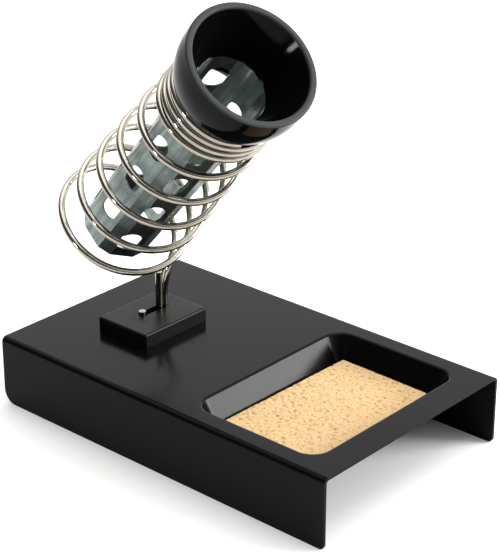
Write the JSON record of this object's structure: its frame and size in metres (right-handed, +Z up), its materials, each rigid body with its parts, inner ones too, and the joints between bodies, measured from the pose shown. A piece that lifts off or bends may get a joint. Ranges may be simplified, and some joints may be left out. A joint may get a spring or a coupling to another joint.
{
  "type": "soldering iron stand",
  "caption": "Soldering iron stand: folded steel base with a drawn sponge recess and a leaning sprung-wire holder with a perforated heat shield and a funnel.",
  "frame": {"origin": "on the bench, under the middle of the base", "axes": "+Z up, +X along the base towards the sponge, +Y towards the rear long side"},
  "size_m": [0.145, 0.09, 0.1538],
  "materials": {
    "base_paint": "satin black stoved paint on steel sheet",
    "sponge": "open-pored cellulose sponge",
    "block_plastic": "satin black moulded plastic",
    "zinc_steel": "bright zinc plate",
    "plated_wire": "bright nickel plate on spring wire",
    "galvanised_sheet": "galvanised sheet steel",
    "funnel_plastic": "glossy black heat-resistant moulding"
  },
  "bodies": {
    "base": {"base_channel": "base_paint", "clamp_block": "block_plastic", "block_screws": "zinc_steel", "block_washers": "zinc_steel"},
    "sponge_body": {"sponge": "sponge"},
    "holder": {"coil_holder": "plated_wire", "leg_brace": "plated_wire"},
    "funnel_body": {"funnel": "funnel_plastic", "heat_shield": "galvanised_sheet"}
  },
  "joints": [
    {"name": "sponge_lift", "type": "slide", "parent": "base", "child": "sponge_body", "axis": [0, 0, 1], "range_m": [0, 0.03]},
    {"name": "holder_lift", "type": "slide", "parent": "base", "child": "holder", "axis": [0, 0, 1], "range_m": [0, 0.025]},
    {"name": "funnel_pull", "type": "slide", "parent": "holder", "child": "funnel_body", "axis": [0.688, -0.1337, 0.7133], "range_m": [0, 0.095]}
  ]
}
